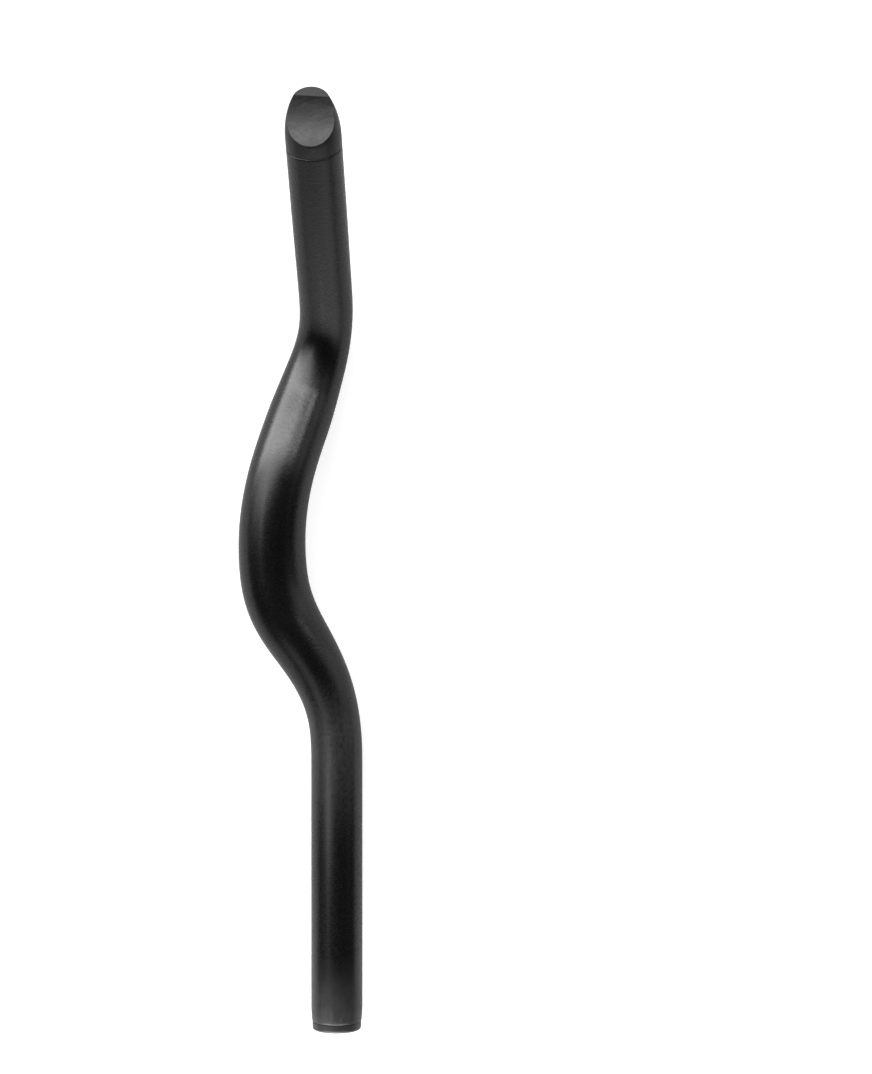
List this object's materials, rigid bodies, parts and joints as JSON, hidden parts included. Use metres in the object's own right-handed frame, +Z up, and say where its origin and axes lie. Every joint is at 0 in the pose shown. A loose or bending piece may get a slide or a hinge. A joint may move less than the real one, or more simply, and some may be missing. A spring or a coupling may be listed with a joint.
{
  "type": "aero handlebar extension",
  "caption": "Slim hollow bar that bows outboard, swells at the grip and rises to a capped tip with a hollowed thumb rest; its straight rear is held by an aero bar clamp.",
  "frame": {"origin": "on the axis of the straight clamp zone, halfway along it", "axes": "+Y forward along the clamp zone, +Z up, -X outboard; the underside of the clamp zone is at Z = -0.0111"},
  "size_m": [0.0531, 0.3958, 0.081],
  "materials": {
    "moulded_tube": "satin black with a fine grain",
    "tip_cap": "matte black",
    "end_plug": "smooth satin black"
  },
  "bodies": {
    "root": {"extension_tube": "moulded_tube", "front_end_cap": "tip_cap", "rear_end_plug": "end_plug"}
  },
  "joints": []
}
